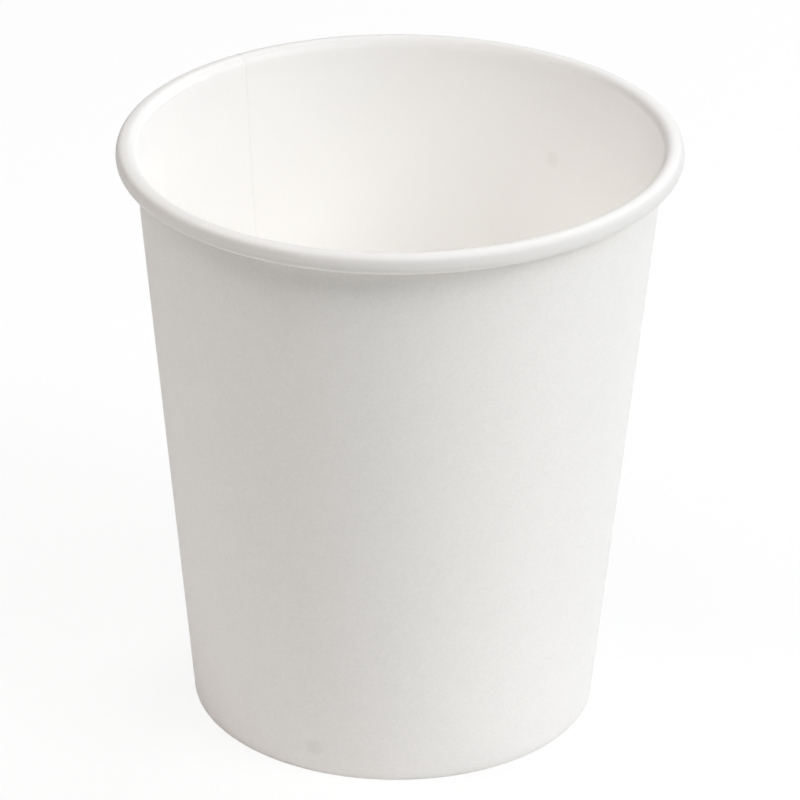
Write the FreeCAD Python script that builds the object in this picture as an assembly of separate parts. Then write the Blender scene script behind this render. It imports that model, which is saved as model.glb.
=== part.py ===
import FreeCAD, Part
import math
import os

# A plain white single-wall paper cup for a small coffee, about 200 ml to the brim.
# Two pieces of plastic-lined paperboard:
#   sidewall     a fan-shaped blank wrapped into a cone and sealed on itself in a side seam,
#                its top edge rolled outward into the rim, its bottom edge folded in and up as a hem
#   bottom_disc  a round blank drawn down into a skirt, which the hem holds against the wall
# The cup stands upright on z = 0 with its axis on Z. All sizes are in millimetres.

# Overall sizes
rim_diameter = 73.0  # over the rolled rim
base_diameter = 53.6  # outside of the wall cone, at the table
cup_height = 79.6  # table to the top of the rim

# Board
wall_board = 0.28  # sidewall blank, lining included
bottom_board = 0.25  # bottom blank, lining included
seal_clearance = 0.04  # between the skirt and the board on each side of it

# Rolled rim
roll_diameter = 2.68  # over the roll's section
roll_clearance = 0.12  # spring-back between one turn of board and the next
roll_tuck_start = -45.0  # degrees below the roll's middle where the edge starts to tuck in
roll_edge_angle = 150.0  # degrees, where the raw edge ends up inside the roll

# Side seam
seam_azimuth = 127.5  # degrees from +X to the inner flap's cut edge
seam_overlap = 6.5  # width of the double board, measured at the rim
seam_ramp = 1.0  # length over which one flap climbs over the other's edge, at the rim
seam_layers = 2  # boards on each other in the overlap

# Foot
recess_depth = 7.0  # table to the underside of the bottom
hem_height = 5.6  # table to the hem's raw edge
fold_radius = 0.05  # inside radius of the pressed fold
skirt_bend = 0.5  # inside radius where the bottom turns down into its skirt

os.makedirs("parts", exist_ok=True)

roll_radius = roll_diameter / 2
roll_r = rim_diameter / 2 - roll_radius
roll_z = cup_height - roll_radius

# The wall leans out so that its inner face runs tangent into the roll.
reach = math.hypot(roll_r - base_diameter / 2, roll_z)
bearing = math.atan2(roll_z, roll_r - base_diameter / 2)
lean = math.acos((roll_radius - wall_board) / reach) - bearing

# What lies between the wall and the hem: the skirt with a clearance on each side.
sandwich = bottom_board + 2 * seal_clearance


def point(r, z):
    return FreeCAD.Vector(r, 0, z)


def polar(centre, radius, angle):
    """Point at a radius and an angle in radians from a centre in the section plane."""
    return point(centre.x + radius * math.cos(angle), centre.z + radius * math.sin(angle))


def arc(centre, radius, start, end):
    middle = (start + end) / 2
    return Part.Arc(polar(centre, radius, start), polar(centre, radius, middle),
                    polar(centre, radius, end)).toShape()


def line(start, end):
    return Part.LineSegment(start, end).toShape()


def wall_inside(z):
    """Radius of the wall's inner face, which is a true cone all the way round."""
    return base_diameter / 2 - wall_board / math.cos(lean) + z * math.tan(lean)


def tuck_shift(layers):
    """How far the roll's centre moves so that its last part clears the wall by the clearance."""
    toward_wall = math.cos(math.pi - lean - math.radians(roll_tuck_start))
    return (layers * wall_board + roll_clearance) / (1 - toward_wall)


def board_face(offset, layers):
    """One face of the sidewall's board in section, from its raw edge in the roll to the hem's.

    The offset is the face's distance from the lined face, which is inside the cup, outside on
    the roll and against the skirt in the hem. Layers is how many the seam has at this place.
    """
    tuck_start = math.radians(roll_tuck_start)
    tangent = math.pi - lean
    shift = tuck_shift(layers)
    roll_centre = point(roll_r, roll_z)
    tuck_centre = polar(roll_centre, shift, tuck_start)
    tucked = arc(tuck_centre, roll_radius - shift - offset, math.radians(roll_edge_angle - 360), tuck_start)
    rolled = arc(roll_centre, roll_radius - offset, tuck_start, tangent)

    fold_z = layers * wall_board + fold_radius
    near_r = wall_inside(fold_z) - fold_radius / math.cos(lean)
    far_r = near_r - (sandwich - 2 * fold_radius) / math.cos(lean)
    near = point(near_r, fold_z)
    far = point(far_r, fold_z)
    radius = fold_radius + offset
    wall_foot = polar(near, radius, -lean)
    hem_foot = polar(far, radius, -math.pi - lean)
    climb = (hem_height - fold_z) / math.cos(lean)
    hem_top = polar(hem_foot, climb, math.pi / 2 - lean)

    return [
        tucked,
        rolled,
        line(polar(roll_centre, roll_radius - offset, tangent), wall_foot),
        arc(near, radius, -lean, -math.pi / 2),
        line(polar(near, radius, -math.pi / 2), polar(far, radius, -math.pi / 2)),
        arc(far, radius, -math.pi / 2, -math.pi - lean),
        line(hem_foot, hem_top),
    ]


def start_of(edges):
    return edges[0].firstVertex(True).Point


def end_of(edges):
    return edges[-1].lastVertex(True).Point


def board_section(first_layer, last_layer, layers):
    """Closed section through the board from one layer of the seam to another."""
    lined = board_face(first_layer * wall_board, layers)
    plain = board_face(last_layer * wall_board, layers)
    roll_edge = line(start_of(lined), start_of(plain))
    hem_edge = line(end_of(lined), end_of(plain))
    return Part.Wire(lined + [hem_edge] + plain[::-1] + [roll_edge])


def turned(shape, azimuth):
    moved = shape.copy()
    moved.rotate(point(0, 0), FreeCAD.Vector(0, 0, 1), azimuth)
    return moved


def revolved(section, start, end):
    """Solid of a section swept about the cup's axis between two azimuths in degrees."""
    face = Part.Face(turned(section, start))
    return face.revolve(point(0, 0), FreeCAD.Vector(0, 0, 1), end - start)


def ramp(section_a, azimuth_a, section_b, azimuth_b):
    """Short solid in which the board changes from one section to another."""
    return Part.makeLoft([turned(section_a, azimuth_a), turned(section_b, azimuth_b)], True, True)


def make_sidewall():
    rim_throat = wall_inside(cup_height)
    overlap_angle = math.degrees(seam_overlap / rim_throat)
    ramp_angle = math.degrees(seam_ramp / rim_throat)
    inner_edge = seam_azimuth
    outer_edge = seam_azimuth - overlap_angle

    single = board_section(0, 1, 1)
    inner_flap = board_section(0, 1, seam_layers)
    outer_flap = board_section(1, seam_layers, seam_layers)
    double = board_section(0, seam_layers, seam_layers)

    wrap = revolved(single, inner_edge + ramp_angle, outer_edge - ramp_angle + 360)
    tuck_in = ramp(single, outer_edge - ramp_angle, inner_flap, outer_edge)
    overlap = revolved(double, outer_edge, inner_edge)
    climb_down = ramp(outer_flap, inner_edge, single, inner_edge + ramp_angle)
    return wrap.fuse([tuck_in, overlap, climb_down]).removeSplitter()


def make_bottom_disc():
    top_z = recess_depth + bottom_board
    bend_z = recess_depth - skirt_bend
    skirt_foot = seam_layers * wall_board + seal_clearance
    outer_bend = skirt_bend + bottom_board

    def skirt_face(z):
        return wall_inside(z) - seal_clearance / math.cos(lean)

    bend_r = skirt_face(bend_z) - outer_bend / math.cos(lean)
    bend = point(bend_r, bend_z)
    outer_foot = point(skirt_face(skirt_foot), skirt_foot)
    inner_foot = point(skirt_face(skirt_foot) - bottom_board / math.cos(lean), skirt_foot)
    section = Part.Wire([
        line(point(0, recess_depth), point(0, top_z)),
        line(point(0, top_z), point(bend_r, top_z)),
        arc(bend, outer_bend, math.pi / 2, -lean),
        line(polar(bend, outer_bend, -lean), outer_foot),
        line(outer_foot, inner_foot),
        line(inner_foot, polar(bend, skirt_bend, -lean)),
        arc(bend, skirt_bend, -lean, math.pi / 2),
        line(point(bend_r, recess_depth), point(0, recess_depth)),
    ])
    return Part.Face(section).revolve(point(0, 0), FreeCAD.Vector(0, 0, 1), 360)


def write(name, shape):
    shape.exportStep(f"parts/{name}.step")
    print(name, "solids", len(shape.Solids), "volume", round(shape.Volume, 1), "mm3")


write("sidewall", make_sidewall())
write("bottom_disc", make_bottom_disc())
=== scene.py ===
import math

import bpy
from mathutils import Matrix, Vector


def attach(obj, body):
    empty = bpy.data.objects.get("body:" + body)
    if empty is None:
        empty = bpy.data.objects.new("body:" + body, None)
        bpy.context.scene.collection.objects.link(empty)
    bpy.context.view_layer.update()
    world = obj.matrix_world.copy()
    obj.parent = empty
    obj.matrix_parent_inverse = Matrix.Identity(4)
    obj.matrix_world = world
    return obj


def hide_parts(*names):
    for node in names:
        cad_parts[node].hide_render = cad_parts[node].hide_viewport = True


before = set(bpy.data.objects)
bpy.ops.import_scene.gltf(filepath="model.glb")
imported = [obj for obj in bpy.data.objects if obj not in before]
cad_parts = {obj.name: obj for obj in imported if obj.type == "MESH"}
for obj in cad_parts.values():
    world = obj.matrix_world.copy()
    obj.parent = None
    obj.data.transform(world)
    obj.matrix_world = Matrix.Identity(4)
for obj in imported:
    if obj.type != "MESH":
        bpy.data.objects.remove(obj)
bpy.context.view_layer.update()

# A plain white single-wall paper cup: a sidewall that is wrapped, lapped and rolled, and a drawn bottom.
# Sizes are in millimetres and degrees, as in the CAD model, and mm turns them to metres.
mm = 0.001


def report(text):
    print("scene:", text)


def ease(low, high, value):  # 0 below low, 1 above high, smooth between
    t = min(max((value - low) / (high - low), 0.0), 1.0)
    return t * t * (3 - 2 * t)


def bell(value, width):  # 1 at zero, fading over the width
    return math.exp(-(value / width) ** 2)


def angleBetween(a, b):  # shortest turn from b to a, degrees
    return (a - b + 180) % 360 - 180


def polar(centre, radius, angle):
    return (centre[0] + radius * math.cos(angle), centre[1] + radius * math.sin(angle))


def arcPoints(centre, radius, start, end, steps):
    return [polar(centre, radius, start + (end - start) * i / steps) for i in range(steps + 1)]


def between(start, end, share):
    return (start[0] + (end[0] - start[0]) * share, start[1] + (end[1] - start[1]) * share)


def linePoints(start, end, steps):
    return [between(start, end, i / steps) for i in range(steps + 1)]


def closerAtEnds(start, end, steps):  # so that the smooth shading of the bends beside it stays with them
    return [between(start, end, (1 - math.cos(math.pi * i / steps)) / 2) for i in range(steps + 1)]


def turned(r, z, angle):  # a section's point, turned about the cup's axis, in metres
    return (r * math.cos(angle) * mm, r * math.sin(angle) * mm, z * mm)


def linear(hexColour):  # sRGB hex to the linear colour that Blender's sockets take
    values = [int(hexColour[i:i + 2], 16) / 255 for i in (1, 3, 5)]
    return [v / 12.92 if v <= 0.04045 else ((v + 0.055) / 1.055) ** 2.4 for v in values] + [1.0]


# Board and cup sizes

board = {
    "wall": 0.28,  # thickness of the sidewall blank
    "bottom": 0.25,  # thickness of the bottom blank
    "sealGap": 0.04,  # between the skirt and the board on each side of it
}

cup = {
    "rimDiameter": 73.0,  # over the rolled rim
    "baseDiameter": 53.6,  # wall cone at the table
    "height": 79.6,
}

roll = {
    "diameter": 2.68,  # over the roll's section
    "gap": 0.12,  # spring-back between one turn and the next
    "tuckStart": -45.0,  # where the edge starts to tuck in
    "edge": 150.0,  # where the raw edge ends up inside the roll
    "corner": 45.0,  # the curling tool leaves it a little flat on top and outside, with a corner between
    "cornerReach": 60.0,
    "square": 0.045,  # share of the radius that the corner stands out by
    "tuckSteps": 8,
    "turnSteps": 40,
}

rollRadius = roll["diameter"] / 2
rollCentre = (cup["rimDiameter"] / 2 - rollRadius, cup["height"] - rollRadius)
rise = (rollCentre[0] - cup["baseDiameter"] / 2, rollCentre[1])
lean = math.acos((rollRadius - board["wall"]) / math.hypot(*rise)) - math.atan2(rise[1], rise[0])


def wallInside(z):  # radius of the wall's inner face
    return cup["baseDiameter"] / 2 - board["wall"] / math.cos(lean) + z * math.tan(lean)


# Camera: the photograph's angle, from the outline of the rim, the wall and the foot

cameraSetup = {
    "elevation": 26.49,
    "roll": 0.68,
    "distance": 635.5,
    "lens": 217.2,
    "sensor": 36.0,
    "aimX": 0.49,
    "aimZ": 42.18,
    "clipStart": 10.0,
    "clipEnd": 20000.0,
}


def makeCamera(s):
    data = bpy.data.cameras.new("camera")
    data.lens = s["lens"]
    data.sensor_width = s["sensor"]
    data.clip_start = s["clipStart"] * mm
    data.clip_end = s["clipEnd"] * mm
    camera = bpy.data.objects.new("camera", data)
    tilt = math.radians(s["elevation"])
    back = s["distance"] * math.cos(tilt)
    up = s["aimZ"] + s["distance"] * math.sin(tilt)
    place = Matrix.Translation(Vector((s["aimX"], -back, up)) * mm)
    look = Matrix.Rotation(math.pi / 2 - tilt, 4, "X") @ Matrix.Rotation(math.radians(s["roll"]), 4, "Z")
    camera.matrix_world = place @ look
    bpy.context.collection.objects.link(camera)
    bpy.context.scene.camera = camera


makeCamera(cameraSetup)
report("camera set")


# Materials

def addNode(tree, kind, inputs=None, **settings):
    node = tree.nodes.new(kind)
    for name, value in settings.items():
        setattr(node, name, value)
    for name, value in (inputs or {}).items():
        if isinstance(value, bpy.types.NodeSocket):
            tree.links.new(value, node.inputs[name])
        else:
            node.inputs[name].default_value = value
    return node


def setStops(ramp, stops):  # places along a colour ramp, lowest first, and the colour at each
    elements = ramp.color_ramp.elements
    while len(elements) < len(stops):
        elements.new(0.5)
    for element, (position, colour) in zip(elements, stops.items()):
        element.position = position
        element.color = colour


# Uncoated: bleached cup board as the mill presses it, matte, with cloudy patches and short fibres.
# Lined: the same board under a thin film of polyethylene, which fills the fibres and gives a low satin.
# Cut edge: bare fibres where the die went through, a little creamier than the faces.
# The shade runs from dip to colour over the grain and the cloud, mixed by cloudShare. Single fibres of
# 0.03 mm are finer than a pixel, so the faces' grain is drawn as the 0.4 to 0.6 mm tufts they gather in.
paper = {
    "uncoated": {
        "colour": "#F2EFEB", "dip": "#EBE8E4", "roughness": 0.92, "ior": 1.47,
        "grain": 0.4, "grainDepth": 0.008, "cloud": 2.5, "cloudDepth": 0.002, "cloudShare": 0.2,
    },
    "lined": {
        "colour": "#FDFBF7", "dip": "#FCF9F6", "roughness": 0.5, "ior": 1.51,
        "grain": 0.6, "grainDepth": 0.001, "cloud": 4.0, "cloudDepth": 0.0015, "cloudShare": 0.5,
    },
    "cutEdge": {
        "colour": "#F0EDE6", "dip": "#E6E1D6", "roughness": 0.95, "ior": 1.47,
        "grain": 0.12, "grainDepth": 0.006, "cloud": 1.5, "cloudDepth": 0.004, "cloudShare": 0.3,
    },
}
shadeFrom = 0.3  # stretch of the mixed noise that the shade runs over
shadeTo = 0.7

# Painted shade on the roll: its board turns to this darker shade from its inner side towards the crown, and
# keeps it over the crown and outside, to hold down the bright light that falls there.
# Degrees round the roll's section, 180 on the inside and 90 at the crown.
rollPaintedShade = {"shade": "#E3E0DC", "from": 178.0, "to": 124.0}

# Two faint round darker spots: azimuth and height on the wall, how far they lie outside its inner face, and
# how strong the shade is from the middle out
darkSpots = {
    "outside": {
        "azimuth": -112.0, "height": 3.95, "outward": board["wall"] / math.cos(lean), "radius": 1.5,
        "shade": "#E7E4E0", "strength": {0.0: 0.75, 0.2: 0.9, 0.3: 1.0, 0.45: 0.85, 0.7: 0.5, 1.0: 0.0},
    },
    "inside": {
        "azimuth": 51.0, "height": 65.9, "outward": 0.0, "radius": 1.7,
        "shade": "#F4F2EE", "strength": {0.0: 0.8, 0.25: 0.85, 0.5: 0.6, 0.75: 0.2, 1.0: 0.0},
    },
}


def paintedShadeShare(tree, place, s):  # share of the roll's painted shade: 0 on the wall, 1 over the roll
    axes = addNode(tree, "ShaderNodeSeparateXYZ", {"Vector": place})
    level = addNode(tree, "ShaderNodeVectorMath", {0: place, 1: (1, 1, 0)}, operation="MULTIPLY")
    radius = addNode(tree, "ShaderNodeVectorMath", {0: level.outputs["Vector"]}, operation="LENGTH")
    outward = addNode(tree, "ShaderNodeMath", {0: radius.outputs["Value"], 1: rollCentre[0] * mm},
                      operation="SUBTRACT")
    upward = addNode(tree, "ShaderNodeMath", {0: axes.outputs["Z"], 1: rollCentre[1] * mm},
                     operation="SUBTRACT")
    turn = addNode(tree, "ShaderNodeMath", {0: upward.outputs["Value"], 1: outward.outputs["Value"]},
                   operation="ARCTAN2")
    share = addNode(tree, "ShaderNodeMapRange", {"Value": turn.outputs["Value"],
                                                 "From Min": math.radians(s["from"]),
                                                 "From Max": math.radians(s["to"])},
                    interpolation_type="SMOOTHSTEP")
    return share.outputs["Result"]


def darkSpotShare(tree, place, s):
    spot = turned(wallInside(s["height"]) + s["outward"], s["height"], math.radians(s["azimuth"]))
    away = addNode(tree, "ShaderNodeVectorMath", {0: place, 1: spot}, operation="DISTANCE")
    share = addNode(tree, "ShaderNodeMath", {0: away.outputs["Value"], 1: s["radius"] * mm},
                    operation="DIVIDE", use_clamp=True)
    spread = addNode(tree, "ShaderNodeValToRGB", {"Fac": share.outputs["Value"]})
    spread.color_ramp.interpolation = "EASE"
    setStops(spread, {position: (level, level, level, 1.0) for position, level in s["strength"].items()})
    return spread.outputs["Color"]


def paperMaterial(name, s, darkSpot=None, paintedShade=None):
    material = bpy.data.materials.new(name)
    material.use_nodes = True
    tree = material.node_tree
    shader = tree.nodes["Principled BSDF"]
    shader.inputs["Roughness"].default_value = s["roughness"]
    shader.inputs["IOR"].default_value = s["ior"]
    place = addNode(tree, "ShaderNodeTexCoord").outputs["Object"]
    grain = addNode(tree, "ShaderNodeTexNoise", {"Vector": place, "Scale": 1 / (s["grain"] * mm),
                                                 "Detail": 3.0, "Roughness": 0.6})
    cloud = addNode(tree, "ShaderNodeTexNoise", {"Vector": place, "Scale": 1 / (s["cloud"] * mm),
                                                 "Detail": 2.0, "Roughness": 0.5})
    cloudBump = addNode(tree, "ShaderNodeBump", {"Height": cloud.outputs["Fac"], "Strength": 1.0,
                                                 "Distance": s["cloudDepth"] * mm})
    grainBump = addNode(tree, "ShaderNodeBump", {"Height": grain.outputs["Fac"], "Strength": 1.0,
                                                 "Distance": s["grainDepth"] * mm,
                                                 "Normal": cloudBump.outputs["Normal"]})
    tree.links.new(grainBump.outputs["Normal"], shader.inputs["Normal"])
    both = addNode(tree, "ShaderNodeMix", {"Factor": s["cloudShare"], "A": grain.outputs["Fac"],
                                           "B": cloud.outputs["Fac"]}, data_type="FLOAT")
    tone = addNode(tree, "ShaderNodeValToRGB", {"Fac": both.outputs["Result"]})
    setStops(tone, {shadeFrom: linear(s["dip"]), shadeTo: linear(s["colour"])})
    colour = tone.outputs["Color"]
    layers = []
    # painted shade over the roll
    if paintedShade:
        layers.append((paintedShadeShare(tree, place, paintedShade), paintedShade["shade"]))
    if darkSpot:
        layers.append((darkSpotShare(tree, place, darkSpot), darkSpot["shade"]))
    for share, shade in layers:
        mixed = addNode(tree, "ShaderNodeMix", {"Factor": share, "A": colour, "B": linear(shade)},
                        data_type="RGBA")
        colour = mixed.outputs["Result"]
    tree.links.new(colour, shader.inputs["Base Color"])
    return material


uncoatedBoard = paperMaterial("uncoatedCupBoard", paper["uncoated"], darkSpot=darkSpots["outside"])
linedBoard = paperMaterial("linedCupBoard", paper["lined"], darkSpot=darkSpots["inside"])
# the roll's board, with painted shade over the roll
rolledBoard = paperMaterial("rolledCupBoard", paper["lined"], paintedShade=rollPaintedShade)
cutBoard = paperMaterial("cutBoardEdge", paper["cutEdge"])
boardMaterials = [linedBoard, uncoatedBoard, cutBoard, rolledBoard]
linedIndex, uncoatedIndex, cutIndex, rolledIndex = range(len(boardMaterials))
report("board materials made")


sharpAngle = 40.0  # the board's cut edges stay crisp, and its bends smooth


def meshPiece(name, vertices, faces, slots, slotName, node):
    mesh = bpy.data.meshes.new(name)
    mesh.from_pydata(vertices, [], faces)
    for material in boardMaterials:
        mesh.materials.append(material)
    mesh.polygons.foreach_set("material_index", slots)
    mesh.polygons.foreach_set("use_smooth", [True] * len(faces))
    mesh.set_sharp_from_angle(angle=math.radians(sharpAngle))
    mesh.update()
    piece = bpy.data.objects.new(name, mesh)
    bpy.context.collection.objects.link(piece)
    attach(piece, "root")
    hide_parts(node)
    report(f"{name}: {len(faces)} faces")


# Sidewall: one strip of board that goes once round and laps itself at the seam

sidewall = {
    "seamAzimuth": 127.5,  # inner flap's cut edge
    "overlap": 6.5,  # width of the lap at the rim
    "ramp": 0.6,  # where the outer flap comes down over the inner flap's edge
    "pressedInner": 0.88,  # share of the thickness that the sealing bar takes off the edge inside the cup
    "pressedOuter": 0.4,  # and off the edge outside
    "pressWidth": 0.9,
    "glueGap": 0.004,
    "foldRadius": 0.05,
    "hem": 5.6,
    "ribPitch": 3.0,  # degrees between the marks that the knurling wheel leaves in the hem
    "ribDepth": 0.05,
    "wallSteps": 14,  # between the roll and the fold
    "foldSteps": 5,
    "hemSteps": 5,
    "step": 0.75,  # degrees between sections
    "seamStep": 0.15,
}

# How far the rim is from true, measured at the top and fading out down the wall
handling = {
    "oval": 0.18,
    "ovalAzimuth": 45.0,
    "threeSided": 0.13,
    "tilt": 0.19,  # the +X side stands this much higher, the -X side lower
    "fade": 3.0,  # power of the height that it fades with
}

# Where a thumb pressed the rim at the front left
thumb = {
    "azimuth": -121.0,
    "reach": 11.9,  # degrees to each side
    "edge": 1.2,
    "square": 0.035,
}

rimThroat = wallInside(cup["height"])
overlapAngle = math.degrees(sidewall["overlap"] / rimThroat)
rampAngle = math.degrees(sidewall["ramp"] / rimThroat)
pressAngle = math.degrees(sidewall["pressWidth"] / rimThroat)
stripStart = sidewall["seamAzimuth"] - overlapAngle  # outer flap's cut edge
stripEnd = sidewall["seamAzimuth"] + 360  # inner flap's cut edge


def boardAt(turn):  # thickness of the strip: pressed thinner towards its two cut edges
    outer = sidewall["pressedOuter"] * (1 - ease(0, pressAngle, turn - stripStart))
    inner = sidewall["pressedInner"] * (1 - ease(0, pressAngle, stripEnd - turn))
    return board["wall"] * (1 - max(outer, inner))


def lapAt(turn):  # how far the strip's lined face lies off the cone: it rides over the inner flap
    seam = sidewall["seamAzimuth"]
    over = boardAt(min(turn, seam) + 360) + sidewall["glueGap"]
    return over * (1 - ease(seam, seam + rampAngle, turn))


def stackAt(turn):  # all the board that lies here, which the roll and the fold make room for
    over = boardAt(turn - 360) + sidewall["glueGap"]  # the outer flap over the strip's last part
    return lapAt(turn) + boardAt(turn) + over * ease(stripStart - rampAngle, stripStart, turn - 360)


def cornerAt(angle):  # how far the roll's section stands out of its circle, -1 to 1
    away = angle - math.radians(roll["corner"])
    return math.cos(4 * away) * bell(away, math.radians(roll["cornerReach"]))


def squareAt(turn):  # the roll's corner, sharper where the thumb has pressed the rim
    away = angleBetween(turn, thumb["azimuth"])
    return roll["square"] + thumb["square"] * ease(-thumb["edge"], thumb["edge"], thumb["reach"] - abs(away))


def boardFace(offset, stack, square):  # one face of the board in section, from the roll's edge to the hem's
    tuckStart = math.radians(roll["tuckStart"])
    tangent = math.pi - lean
    shift = (stack + roll["gap"]) / (1 - math.cos(tangent - tuckStart))
    tuckCentre = polar(rollCentre, shift, tuckStart)
    tuckEnd = math.radians(roll["edge"] - 360)
    points = arcPoints(tuckCentre, rollRadius - shift - offset, tuckEnd, tuckStart, roll["tuckSteps"])
    for i in range(1, roll["turnSteps"] + 1):
        angle = tuckStart + (tangent - tuckStart) * i / roll["turnSteps"]
        points.append(polar(rollCentre, (rollRadius - offset) * (1 + square * cornerAt(angle)), angle))
    foldZ = stack + sidewall["foldRadius"]
    sandwich = board["bottom"] + 2 * board["sealGap"]  # what lies between the wall and the hem
    nearR = wallInside(foldZ) - sidewall["foldRadius"] / math.cos(lean)
    near = (nearR, foldZ)
    far = (nearR - (sandwich - 2 * sidewall["foldRadius"]) / math.cos(lean), foldZ)
    bend = sidewall["foldRadius"] + offset
    points += closerAtEnds(points[-1], polar(near, bend, -lean), sidewall["wallSteps"])[1:]
    points += arcPoints(near, bend, -lean, -math.pi / 2, sidewall["foldSteps"])[1:]
    points += arcPoints(far, bend, -math.pi / 2, -math.pi - lean, sidewall["foldSteps"])
    climb = (sidewall["hem"] - foldZ) / math.cos(lean)
    points += linePoints(points[-1], polar(points[-1], climb, math.pi / 2 - lean), sidewall["hemSteps"])[1:]
    return points


def sectionTurns():  # azimuths of the sections, closer together where the seam changes
    turns = []
    turn = stripStart
    fine = rampAngle + pressAngle
    while turn < stripEnd - 1e-6:
        turns.append(turn)
        nearSeam = abs(turn - sidewall["seamAzimuth"]) < fine
        nearStart = turn < stripStart + fine
        nearEnd = turn > stripEnd - overlapAngle - fine
        turn += sidewall["seamStep"] if nearSeam or nearStart or nearEnd else sidewall["step"]
    return turns + [stripEnd]


def pressRibs(points, turn):  # the knurling wheel's marks in the hem
    first = len(points) - sidewall["hemSteps"]
    rib = max(math.cos(math.radians(turn * 360 / sidewall["ribPitch"])), 0) * sidewall["ribDepth"]
    for i in range(first, len(points)):
        r, z = points[i]
        points[i] = (r + rib * ease(first - 1, first + 1, i), z)


def handled(r, z, turn):  # from the ideal section to the cup's slightly uneven form
    angle = math.radians(turn)
    share = max(z / cup["height"], 0) ** handling["fade"]
    oval = handling["oval"] * math.cos(2 * (angle - math.radians(handling["ovalAzimuth"])))
    r += share * (oval + handling["threeSided"] * math.cos(3 * angle))
    z += share * handling["tilt"] * math.cos(angle)
    return turned(r, z, angle)


def buildStrip():
    vertices = []
    faces = []
    slots = []
    rows = []
    for turn in sectionTurns():
        offset = lapAt(turn)
        stack = stackAt(turn)
        square = squareAt(turn)
        lined = boardFace(offset, stack, square)
        plain = boardFace(offset + boardAt(turn), stack, square)
        pressRibs(plain, turn)
        rows.append(len(vertices))
        vertices += [handled(r, z, turn) for r, z in lined + plain[::-1]]
    count = len(lined)
    size = 2 * count
    rolled = roll["tuckSteps"] + roll["turnSteps"]
    slotAround = [rolledIndex] * rolled + [linedIndex] * (count - 1 - rolled) + [cutIndex]
    slotAround += [uncoatedIndex] * (count - 1) + [cutIndex]
    for a, b in zip(rows, rows[1:]):
        for i in range(size):
            j = (i + 1) % size
            faces.append((a + i, b + i, b + j, a + j))
        slots += slotAround
    for i in range(count - 1):
        outerEdge = [rows[0] + k for k in (i, i + 1, size - 2 - i, size - 1 - i)]
        innerEdge = [rows[-1] + k for k in (size - 1 - i, size - 2 - i, i + 1, i)]
        faces += [outerEdge, innerEdge]
        slots += [cutIndex, rolledIndex]  # melted film closes the inner flap's edge
    return vertices, faces, slots


meshPiece("rolledSidewall", *buildStrip(), "wall_board", "sidewall")


# Bottom: a round blank drawn down into a skirt

bottomDisc = {
    "recess": 7.0,
    "bend": 0.5,
    "rings": 22,
    "bendSteps": 8,
    "skirtSteps": 6,
    "turns": 240,
}


def bottomFace(s, depth):  # one face of the blank in section, from the middle to the skirt's foot
    gap = board["sealGap"] / math.cos(lean)
    bendZ = s["recess"] - s["bend"]
    footZ = 2 * board["wall"] + board["sealGap"]  # clear of the lapped fold
    centre = (wallInside(bendZ) - gap - (s["bend"] + board["bottom"]) / math.cos(lean), bendZ)
    radius = s["bend"] + board["bottom"] - depth
    foot = (wallInside(footZ) - gap - depth / math.cos(lean), footZ)
    middle = (0.0, bendZ + radius)
    points = linePoints(middle, polar(centre, radius, math.pi / 2), s["rings"])
    points += arcPoints(centre, radius, math.pi / 2, -lean, s["bendSteps"])[1:]
    return points + linePoints(points[-1], foot, s["skirtSteps"])[1:]


def buildBottom(s):
    topFace = bottomFace(s, 0.0)
    underFace = bottomFace(s, board["bottom"])
    loop = topFace[1:] + underFace[:0:-1]
    top = len(topFace) - 1
    size = len(loop)
    vertices = []
    for k in range(s["turns"]):
        angle = 2 * math.pi * k / s["turns"]
        vertices += [turned(r, z, angle) for r, z in loop]
    topCentre = len(vertices)
    underCentre = topCentre + 1
    vertices += [turned(*topFace[0], 0), turned(*underFace[0], 0)]
    slotAround = [linedIndex] * (top - 1) + [cutIndex] + [uncoatedIndex] * (size - 1 - top)
    faces = []
    slots = []
    for k in range(s["turns"]):
        a = k * size
        b = (k + 1) % s["turns"] * size
        faces += [(a + i, a + i + 1, b + i + 1, b + i) for i in range(size - 1)]
        slots += slotAround
        faces += [(a, b, topCentre), (a + size - 1, underCentre, b + size - 1)]
        slots += [linedIndex, uncoatedIndex]
    return vertices, faces, slots


meshPiece("drawnBottom", *buildBottom(bottomDisc), "bottom_board", "bottom_disc")


# Floor, backdrop and light

studio = {
    "floorRadius": 1500.0,
    "floorCorners": 60,
    "floorColour": "#F2F1EE",
    "floorWhite": 0.85,  # share of the floor that the camera sees as plain white; the rest takes the shadow
}

# Where each softbox stands round the cup's middle, its strength in watts and its colour.
# The light table is the glow of the white table that the cup stands on.
softbox = {"distance": 900.0, "size": 500.0}
softboxes = {
    "keyRight": {"azimuth": -30.0, "elevation": 42.0, "power": 4.2, "colour": "#F6FBFF"},
    "lowRight": {"azimuth": 0.0, "elevation": 20.0, "power": 1.16, "colour": "#F5F7FF"},
    "topFront": {"azimuth": -60.0, "elevation": 66.0, "power": 1.48, "colour": "#F8FAFF"},
    "topLeft": {"azimuth": -125.0, "elevation": 66.0, "power": 2.52, "colour": "#FFFBF9"},
    "fillLeft": {"azimuth": 178.0, "elevation": 39.0, "power": 1.93, "colour": "#FFF9F7"},
    "back": {"azimuth": 60.0, "elevation": 42.0, "power": 3.54, "colour": "#F4FBFF"},
    "lightTable": {"azimuth": 0.0, "elevation": -90.0, "power": 0.00772, "colour": "#EDEEFF",
                   "distance": 39.3, "size": 160.0},
}


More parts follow.
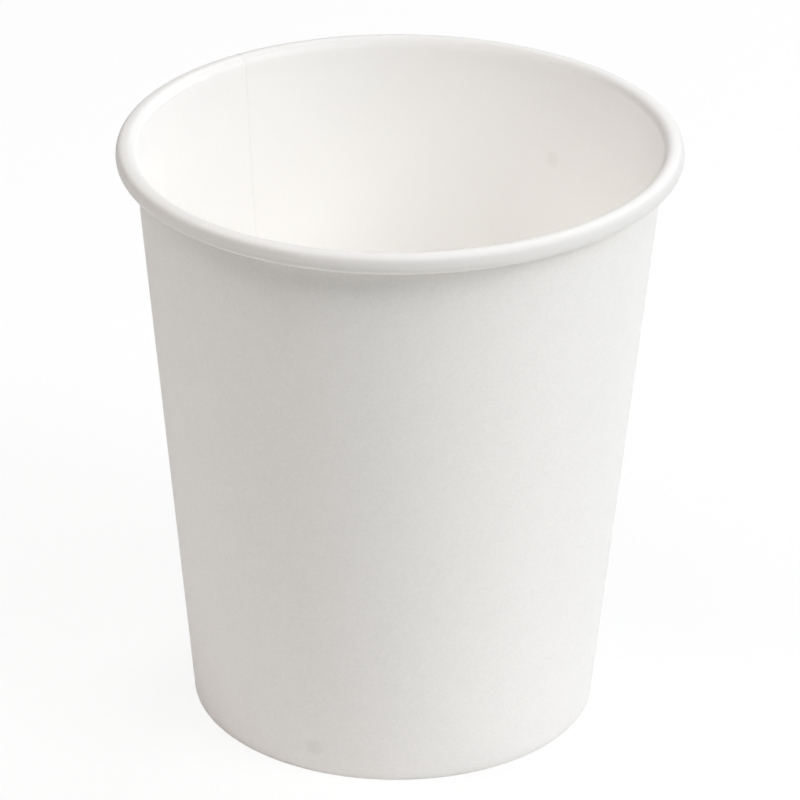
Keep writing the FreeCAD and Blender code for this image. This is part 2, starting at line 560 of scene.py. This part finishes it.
def makeFloor(s):
    material = bpy.data.materials.new("whiteSweep")
    material.use_nodes = True
    tree = material.node_tree
    tree.nodes.clear()
    bare = addNode(tree, "ShaderNodeBsdfDiffuse", {"Color": linear(s["floorColour"])})
    white = addNode(tree, "ShaderNodeEmission", {"Color": (1, 1, 1, 1), "Strength": 1.0})
    seen = addNode(tree, "ShaderNodeLightPath")
    share = addNode(tree, "ShaderNodeMath", {0: seen.outputs["Is Camera Ray"], 1: s["floorWhite"]},
                    operation="MULTIPLY")
    mixed = addNode(tree, "ShaderNodeMixShader", {0: share.outputs["Value"], 1: bare.outputs["BSDF"],
                                                  2: white.outputs["Emission"]})
    addNode(tree, "ShaderNodeOutputMaterial", {"Surface": mixed.outputs["Shader"]})
    mesh = bpy.data.meshes.new("floor")
    corners = s["floorCorners"]
    ring = [turned(s["floorRadius"], 0, 2 * math.pi * i / corners) for i in range(corners)]
    mesh.from_pydata(ring, [], [range(corners)])
    mesh.materials.append(material)
    floor = bpy.data.objects.new("floor", mesh)
    bpy.context.collection.objects.link(floor)


def makeBackdrop():  # white to the camera, and no light on the cup
    world = bpy.data.worlds.new("studio")
    bpy.context.scene.world = world
    world.use_nodes = True
    tree = world.node_tree
    tree.nodes.clear()
    seen = addNode(tree, "ShaderNodeLightPath")
    white = addNode(tree, "ShaderNodeBackground", {"Color": (1, 1, 1, 1),
                                                   "Strength": seen.outputs["Is Camera Ray"]})
    addNode(tree, "ShaderNodeOutputWorld", {"Surface": white.outputs["Background"]})


def makeSoftbox(name, s):
    data = bpy.data.lights.new(name, "AREA")
    data.shape = "DISK"
    data.size = s["size"] * mm
    data.energy = s["power"]
    data.color = linear(s["colour"])[:3]
    lamp = bpy.data.objects.new(name, data)
    lamp.visible_camera = False
    around = math.radians(s["azimuth"])
    up = math.radians(s["elevation"])
    towards = Vector((math.cos(up) * math.cos(around), math.cos(up) * math.sin(around), math.sin(up)))
    aim = Vector((0, 0, cup["height"] * mm / 2))
    lamp.location = aim + towards * s["distance"] * mm
    lamp.rotation_euler = (-towards).to_track_quat("-Z", "Y").to_euler()
    bpy.context.collection.objects.link(lamp)


makeFloor(studio)
makeBackdrop()
for name, settings in softboxes.items():
    makeSoftbox(name, {**softbox, **settings})
bpy.context.scene.view_settings.view_transform = "Standard"
report("floor and lights set")
